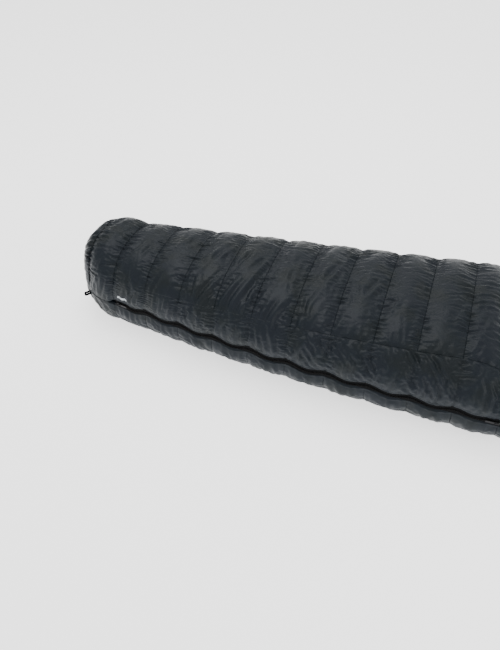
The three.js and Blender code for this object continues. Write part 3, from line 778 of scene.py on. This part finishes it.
def hoodPiece(name, node, stations, angles, rows, seed, ends):
    def face(inset):
        return np.stack([evenSection(s, angles(s, inset), [rows], inset) for s in stations])

    outer, inner = face(0.0), face(0.96)
    normal = outward(outer)
    run = runAcross(outer)
    edge = np.minimum(run, run[:, -1:] - run)
    seam = np.abs(stations[:, None] - np.array(ends)[None, :]).min(1)[:, None]
    spacing = (np.abs(np.diff(stations)).mean(), float(np.diff(run, axis=1).mean()))
    shape = outer.shape[:2]
    lumps = puff["wrinkle"] * ridges(shape, spacing, 0.018, 0.05, 0, seed) * (0.3 + near(seam, 0.03))
    lumps += puff["wrinkle"] * ridges(shape, spacing, 0.022, 0.06, 86, seed + 1) * near(edge, 0.05)
    lumps += puff["bulge"] * 0.5 * ridges(shape, spacing, 0.06, 0.08, 40, seed + 2) * smooth(edge, 0, 0.05)
    lumps -= puff["valley"] * near(seam, 0.016) + 0.004 * near(edge, 0.012)
    lumps *= smooth(edge, -0.004, 0.01)
    outer = outer + normal * lumps[..., None]
    for g in (outer, inner):
        g[..., 2] = np.maximum(g[..., 2], 0.0003)
    return finishPadded(closedSlab(name, outer, inner, taffeta), node, False)


def cheekByZip(s, inset):
    return [0.0005, openingAngle(s, inset)]


def cheekFar(s, inset):
    return [math.pi - 0.0005, math.pi - openingAngle(s, inset)]


def overHead(s, inset):
    return [0.0005, math.pi - 0.0005]


def underHead(s, inset):
    return [-0.0005, -math.pi + 0.0005]


crownSeam = chin + hood["crownSeam"]
cheekRun = np.linspace(chin + 0.0004, crownSeam - 0.0004, 52)
crownRun = np.linspace(crownSeam + 0.0004, endSeam - 0.0004, 26)
baseRun = np.linspace(chin + 0.0004, endSeam - 0.0004, 64)
cheekEnds, crownEnds, baseEnds = [chin, crownSeam], [crownSeam, endSeam], [chin, endSeam]
hoodPiece("cheekDownZip", "hood_cheek_zip", cheekRun, cheekByZip, 70, 110, cheekEnds)
hoodPiece("cheekDownFar", "hood_cheek_far", cheekRun, cheekFar, 70, 120, cheekEnds)
hoodPiece("crownDown", "hood_crown_chamber", crownRun, overHead, 150, 130, crownEnds)
hoodPiece("hoodBaseDown", "hood_base_chamber", baseRun, underHead, 130, 140, baseEnds)
print("hood chambers made")


# A tube along a line of points, with rounded ends.
def tubePiece(name, path, radius, sides, material, lumps, seed):
    path = np.array(path)
    tangent = np.gradient(path, axis=0)
    tangent /= np.linalg.norm(tangent, axis=1, keepdims=True)
    side = np.cross(tangent, [0, 0, 1.0])
    side /= np.maximum(np.linalg.norm(side, axis=1, keepdims=True), 1e-9)
    upward = np.cross(side, tangent)
    noise = ridges((len(path), sides), (0.003, 0.003), 0.011, 0.02, 90, seed) * lumps
    turn = np.linspace(0, 2 * math.pi, sides + 1)[:-1]
    ring = side[:, None] * np.cos(turn)[None, :, None] + upward[:, None] * np.sin(turn)[None, :, None]
    fromStart = np.arange(len(path))
    fromEnd = np.minimum(fromStart, fromStart[::-1])
    reach = radius * np.minimum(1, np.sqrt(np.maximum(0.02, fromEnd / 2)))
    rings = path[:, None] + ring * (reach[:, None] + noise)[..., None]
    count = len(path) * sides
    points = np.concatenate([rings.reshape(-1, 3), path[:1], path[-1:]])
    faces = gridFaces(len(path), sides, closed=True)
    last = (len(path) - 1) * sides
    faces += [[(j + 1) % sides, j, count] for j in range(sides)]
    faces += [[last + j, last + (j + 1) % sides, count + 1] for j in range(sides)]
    piece = makePiece(name, points, faces, material)
    facesOut(piece.data)
    return piece


def rimPath(count):
    t = np.linspace(0, 1, count) * math.pi
    points = []
    for turn in t:
        s = mix(chin + hood["rimStart"], chin + hood["openingEnd"] - 0.0084, math.sin(turn))
        side = -hood["openingHalf"] * math.cos(turn)
        angle = math.acos(min(1, abs(side) / halves(s)[0]) ** (bag["up"] / 2))
        z = section(s, np.array([angle]))[0, 2] - 0.002
        points.append([atX(s), side, z])
    return np.array(points)


rimCasing = tubePiece("hoodRimCasing", rimPath(260), 0.0064, 20, taffeta, lumps=0.0003, seed=150)
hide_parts("hood_rim_channel")
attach(rimCasing, "bag_base")


# Linings: two thin skins inside the down.
def skinPiece(name, node, stations, angles, rows, seed, moves):
    outer = np.stack([evenSection(s, angles(s), [rows], 1.0) for s in stations])
    normal = outward(outer)
    run = runAcross(outer)
    spacing = (np.abs(np.diff(stations)).mean(), float(np.diff(run, axis=1).mean()))
    lumps = ridges(outer.shape[:2], spacing, 0.03, 0.06, 20, seed) * 0.0005
    outer = outer - normal * (0.0015 + np.abs(lumps))[..., None]
    inner = outer - normal * 0.0008
    piece = closedSlab(name, outer, inner, lining)
    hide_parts(node)
    if moves:
        goesWithFlap(piece)
    else:
        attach(piece, "bag_base")
    return piece


def overInside(s):
    return [0.002, math.pi - 0.002]


def underInside(s):
    return [-0.002, -math.pi + 0.002]


toChin = np.linspace(seams[0] + 0.001, chin - 0.001, 80)
toHoodEnd = np.linspace(seams[0] + 0.001, endSeam - 0.001, 90)
skinPiece("liningUpper", "liner_upper", toChin, overInside, 80, 160, True)
skinPiece("liningLower", "liner_lower", toHoodEnd, underInside, 80, 165, False)


# Padded rolls of the lining: the tube behind the zip and the collar inside the chin.
tube = {"stations": 110, "sides": 28, "thick": 0.012, "tall": 0.024, "inside": 0.019, "lift": 0.004}


def rollPiece(name, node, span, seed):
    low, high = span
    sides = tube["sides"]
    turn = np.linspace(0, 2 * math.pi, sides + 1)[:-1]
    rings = []
    for s in np.linspace(low, high, tube["stations"]):
        y = tube["inside"] - (float(halves(s)[0]) - loft["side"])
        ends = math.sqrt(min(1, max(0.02, min(s - low, high - s) / 0.012)))
        across = y + tube["thick"] * ends * np.cos(turn)
        height = bag["crease"] + tube["lift"] + tube["tall"] * ends * np.sin(turn)
        rings.append(np.stack([np.full(sides, atX(s)), across, height], -1))
    rings = np.array(rings)
    lumps = ridges(rings.shape[:2], (0.012, 0.004), 0.03, 0.03, 90, seed) * 0.0008
    centre = rings.mean(axis=1, keepdims=True)
    away = rings - centre
    away /= np.maximum(np.linalg.norm(away, axis=-1, keepdims=True), 1e-9)
    rings = rings + away * lumps[..., None]
    count = len(rings) * sides
    points = np.concatenate([rings.reshape(-1, 3), centre[0], centre[-1]])
    last = count - sides
    faces = gridFaces(len(rings), sides, closed=True)
    faces += [[(j + 1) % sides, j, count] for j in range(sides)]
    faces += [[last + j, last + (j + 1) % sides, count + 1] for j in range(sides)]
    piece = makePiece(name, points, faces, lining)
    facesOut(piece.data)
    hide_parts(node)
    goesWithFlap(piece)
    return piece


tubeSpan = (seams[1] + 0.002, mix(seams[-2], chin, 0.3) - 0.002)
rollPiece("draftTubeRoll", "draft_tube", tubeSpan, 170)


collar = {"stations": 20, "rows": 110, "inset": 1.06, "farAngle": 0.28, "deep": 0.024, "fold": 0.0008}


def collarPiece():
    stations = np.linspace(mix(seams[-2], chin, 0.7) + 0.001, chin - 0.001, collar["stations"])

    def across(s):
        angles = [longSeamAngle(s) + 0.01, math.pi - collar["farAngle"]]
        return evenSection(s, angles, [collar["rows"]], collar["inset"])

    top = np.stack([across(s) for s in stations])
    run = runAcross(top)
    edge = np.minimum(run, run[:, -1:] - run)
    share = np.linspace(-1, 1, len(stations))[:, None]
    depth = collar["deep"] * np.sqrt(np.maximum(0.03, 1 - share**4)) * smooth(edge, -0.02, 0.02)
    depth = depth + ridges(top.shape[:2], (0.003, 0.006), 0.02, 0.03, 0, 175) * collar["fold"]
    piece = closedSlab("collarRoll", top, top - outward(top) * depth[..., None], lining)
    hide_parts("draft_collar")
    goesWithFlap(piece)


collarPiece()
print("lining made")

# Zip: tapes and coils follow the wave of the shell's folded edges.
zipFoot = seams[0] + zipLine["start"]
zipHead = shoulder - zipLine["headBack"]


def zipPoint(s, inward=0.0, rise=0.0):
    y = -(halves(s)[0] - zipLine["tapeInset"] - inward)
    return np.stack([atX(s), y, bag["crease"] + zipWave(s) + rise], -1)


def barPiece(name, stations, corners, material):
    rings = np.stack([[zipPoint(s, *corner) for corner in corners] for s in stations])
    rows = len(corners)
    faces = gridFaces(len(rings), rows, closed=True)
    faces += [list(range(rows)), [(len(rings) - 1) * rows + j for j in reversed(range(rows))]]
    piece = makePiece(name, rings.reshape(-1, 3), faces, material, smoothFaces=False)
    facesOut(piece.data)
    return piece


# Small pieces set evenly along a line by geometry nodes: zip teeth and stitches.
def repeaterTree():
    tree = bpy.data.node_groups.new("setAlongLine", "GeometryNodeTree")
    face = tree.interface
    sockets = {}
    kinds = {"Line": "NodeSocketGeometry"}
    kinds.update(dict.fromkeys(("Pitch", "Length", "Width", "Height", "Wobble"), "NodeSocketFloat"))
    kinds.update({"Seed": "NodeSocketInt", "Finish": "NodeSocketMaterial"})
    for key, kind in kinds.items():
        sockets[key] = face.new_socket(key, in_out="INPUT", socket_type=kind).identifier
    face.new_socket("Pieces", in_out="OUTPUT", socket_type="NodeSocketGeometry")
    given = addNode(tree, "NodeGroupInput")
    curve = addNode(tree, "GeometryNodeMeshToCurve", {"Mesh": given.outputs["Line"]})
    evenly = {"Curve": curve.outputs[0], "Length": given.outputs["Pitch"]}
    points = addNode(tree, "GeometryNodeCurveToPoints", evenly, mode="LENGTH")
    sides = {axis: given.outputs[key] for axis, key in zip("XYZ", ("Width", "Height", "Length"))}
    size = addNode(tree, "ShaderNodeCombineXYZ", sides)
    ball = addNode(tree, "GeometryNodeMeshUVSphere", {"Segments": 8, "Rings": 5, "Radius": 0.5})
    scaled = {"Geometry": ball.outputs[0], "Scale": size.outputs[0]}
    shaped = addNode(tree, "GeometryNodeTransform", scaled)
    wobble = addNode(tree, "FunctionNodeRandomValue", {7: given.outputs["Seed"]}, data_type="FLOAT")
    amount = {0: wobble.outputs[1], 1: given.outputs["Wobble"]}
    turn = addNode(tree, "ShaderNodeMath", amount, operation="MULTIPLY")
    angles = addNode(tree, "ShaderNodeCombineXYZ", {"Y": turn.outputs[0]})
    along = {0: points.outputs["Rotation"]}
    spun = addNode(tree, "FunctionNodeRotateRotation", along, rotation_space="LOCAL")
    asRotation = addNode(tree, "FunctionNodeEulerToRotation", {0: angles.outputs[0]})
    tree.links.new(asRotation.outputs[0], spun.inputs[1])
    copies = {"Points": points.outputs[0], "Instance": shaped.outputs[0], "Rotation": spun.outputs[0]}
    placed = addNode(tree, "GeometryNodeInstanceOnPoints", copies)
    solid = addNode(tree, "GeometryNodeRealizeInstances", {0: placed.outputs[0]})
    coated = {"Geometry": solid.outputs[0], "Material": given.outputs["Finish"]}
    finish = addNode(tree, "GeometryNodeSetMaterial", coated)
    out = addNode(tree, "NodeGroupOutput")
    tree.links.new(finish.outputs[0], out.inputs[0])
    return tree, sockets


repeater, repeaterInputs = repeaterTree()


def setAlong(name, lines, values, material):
    points = np.concatenate(lines)
    edges, first = [], 0
    for line in lines:
        edges += [(first + k, first + k + 1) for k in range(len(line) - 1)]
        first += len(line)
    mesh = bpy.data.meshes.new(name + "Line")
    mesh.from_pydata([tuple(p) for p in points], edges, [])
    holder = bpy.data.objects.new(name + "Line", mesh)
    bpy.context.scene.collection.objects.link(holder)
    modifier = holder.modifiers.new("set", "NODES")
    modifier.node_group = repeater
    for key, value in {**values, "Seed": 4, "Finish": material}.items():
        modifier[repeaterInputs[key]] = value
    view = holder.evaluated_get(bpy.context.evaluated_depsgraph_get())
    made = bpy.data.meshes.new_from_object(view)
    made.name = name
    holder.modifiers.remove(modifier)
    bpy.data.objects.remove(holder)
    piece = bpy.data.objects.new(name, made)
    bpy.context.scene.collection.objects.link(piece)
    made.materials.clear()
    made.materials.append(material)
    made.polygons.foreach_set("use_smooth", [True] * len(made.polygons))
    return piece


teeth = {"Pitch": 0.0016, "Length": 0.0011, "Width": 0.0022, "Height": 0.0030, "Wobble": 0.0}


def makeZip():
    stations = np.linspace(zipFoot, zipHead + zipLine["tail"], 300)
    teethRun = np.linspace(zipFoot + 0.007, zipHead - 0.001, 600)
    for name, sign, moves in (("Upper", 1, True), ("Lower", -1, False)):
        edge, reach = sign * zipLine["slot"], sign * zipLine["tapeReach"]
        corners = [(-0.0005, edge), (-0.0005, reach), (0.0005, reach), (0.0005, edge)]
        band = barPiece(f"zipTape{name}", stations, corners, webbing)
        line = zipPoint(teethRun, -0.0019, sign * 0.0019)
        coil = setAlong(f"zipCoil{name}", [line], teeth, coilPlastic)
        for piece, part, kind in ((band, "tape", "webbing"), (coil, "coil", "coil_plastic")):
            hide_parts(f"zip_{part}_{name.lower()}")
            if moves:
                goesWithFlap(piece)
            else:
                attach(piece, "bag_base")


makeZip()

# Stitches, just proud of the cloth along every sewn line.
stitch = {"Pitch": 0.0042, "Length": 0.0026, "Width": 0.0005, "Height": 0.0005, "Wobble": 0.25}


def makeStitches():
    upLines, downLines = [], []
    lift = 0.0004
    normal = outward(upperCloth)
    lifted = upperCloth + normal * lift
    start, per = 2 * upper["footColumns"], 2 * upper["perChamber"]
    for i in range(1, bag["chambers"]):
        upLines.append(lifted[start + i * per, 4:-4])
    rowOfSeam = 2 * upper["sideRows"]
    shown = np.nonzero(upperColumns > 0.95)[0][0]
    upLines.append(lifted[shown:-4, rowOfSeam])
    upLines.append(lifted[start + 4 : -4, 3])
    stillLines = [lifted[start, 4:-4]]
    normal = outward(lowerCloth)
    lifted = lowerCloth + normal * lift
    start, per = 2 * under["footColumns"], 2 * under["perChamber"]
    for i in range(bag["chambers"]):
        line = lifted[start + i * per, 4:-4]
        downLines.append(line[line[:, 2] > 0.004])
    downLines.append(lifted[start + 4 : -4, 3])
    sewn = (("flapStitches", upLines, True), ("baseStitches", stillLines + downLines, False))
    for name, lines, moves in sewn:
        piece = setAlong(name, lines, stitch, thread)
        if moves:
            goesWithFlap(piece)
        else:
            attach(piece, "bag_base")


makeStitches()
print("zip and stitches made")

# Plain label on the cloth just above the zip's foot end.
label = {"from": 0.022, "length": 0.042, "low": 0.021, "high": 0.030, "proud": 0.0008}


def makeLabel():
    fromZip = runAcross(upperCloth)
    first = seams[0] + label["from"]
    faces = []
    for rise in (label["proud"], 0.0001):
        lifted = upperCloth + outward(upperCloth) * rise
        rows = []
        for s in np.linspace(first, first + label["length"], 30):
            i = int(np.searchsorted(upperColumns, s))
            share = (s - upperColumns[i - 1]) / (upperColumns[i] - upperColumns[i - 1])
            line, run = (mix(g[i - 1], g[i], share) for g in (lifted, fromZip))
            want = np.linspace(label["low"], label["high"], 8)
            rows.append(np.stack([np.interp(want, run, line[:, k]) for k in range(3)], -1))
        faces.append(np.array(rows))
    piece = closedSlab("plainLabel", *faces, printed)
    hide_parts("label_patch")
    goesWithFlap(piece)


makeLabel()

# Finishes of the CAD pieces that are kept as they are.
finishes = {
    "head_slider": paintedZinc,
    "head_slider_pull": paintedZinc,
    "foot_slider": paintedZinc,
    "foot_slider_pull": paintedZinc,
    "zip_head_stop": paintedZinc,
    "zip_foot_stop": paintedZinc,
    "hood_lock_barrel": moulded,
    "hood_lock_plunger": moulded,
    "hood_drawcord": braid,
    "guard_loop_patch": pile,
    "guard_hook_patch": pile,
    "zip_guard_tab": webbing,
    "hang_loop_zip_side": webbing,
    "hang_loop_far_side": webbing,
}
for node, material in finishes.items():
    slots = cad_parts[node].data.materials
    slots.clear()
    slots.append(material)


def makeSpring():
    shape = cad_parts["hood_lock_spring"].data.copy()
    work = bmesh.new()
    work.from_mesh(shape)
    bmesh.ops.remove_doubles(work, verts=work.verts, dist=1e-6)
    work.to_mesh(shape)
    work.free()
    shape.materials.clear()
    shape.materials.append(wire)
    piece = bpy.data.objects.new("lockSpringCoil", shape)
    bpy.context.scene.collection.objects.link(piece)
    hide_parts("hood_lock_spring")
    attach(piece, "bag_base")
    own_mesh(piece)


makeSpring()


# Camera and light
studio = {
    "floor": "FAFAFA",
    "floorGlow": 1.5,
    "world": 1.0,
    "lens": 38.872,
    "eye": (0.3237, -2.0296, 1.8426),
    "yaw": 19.534,  # degrees
    "down": 40.761,
    "roll": -1.325,
    # name: place, turn in degrees, size, power
    "lights": {
        "overhead": ((-0.9, 0.9, 3.2), (-14, -14, 0), 2.2, 58),
        "headSide": ((2.6, -1.2, 1.6), (60, 0, 65), 0.8, 20),
    },
}


def makeStudio():
    bpy.ops.mesh.primitive_plane_add(size=30)
    floor = bpy.context.object
    floor.name = "floor"
    floor.location.z = -0.0005
    paper, _, shader = newMaterial("palePaper")  # matt coated paper, lit from behind as well
    shader.inputs["Base Color"].default_value = linear(studio["floor"])
    shader.inputs["Roughness"].default_value = 0.95
    shader.inputs["Specular IOR Level"].default_value = 0.1
    shader.inputs["Emission Color"].default_value = (1, 1, 1, 1)
    shader.inputs["Emission Strength"].default_value = studio["floorGlow"]
    floor.data.materials.append(paper)
    world = bpy.data.worlds.new("studio")
    world.use_nodes = True
    sky = world.node_tree.nodes["Background"]
    sky.inputs["Color"].default_value = (1, 1, 1, 1)
    sky.inputs["Strength"].default_value = studio["world"]
    bpy.context.scene.world = world
    for name, (place, turn, size, power) in studio["lights"].items():
        light = bpy.data.lights.new(name, "AREA")
        light.size = size
        light.energy = power
        lamp = bpy.data.objects.new(name, light)
        lamp.location = place
        lamp.rotation_euler = [math.radians(a) for a in turn]
        bpy.context.scene.collection.objects.link(lamp)
    camera = bpy.data.cameras.new("camera")
    camera.lens = studio["lens"]
    eye = bpy.data.objects.new("camera", camera)
    eye.location = studio["eye"]
    yaw = Matrix.Rotation(math.radians(studio["yaw"]), 3, "Z")
    pitch = Matrix.Rotation(math.radians(90 - studio["down"]), 3, "X")
    roll = Matrix.Rotation(math.radians(studio["roll"]), 3, "Z")
    eye.rotation_euler = (yaw @ pitch @ roll).to_euler()
    bpy.context.scene.collection.objects.link(eye)
    bpy.context.scene.camera = eye


makeStudio()
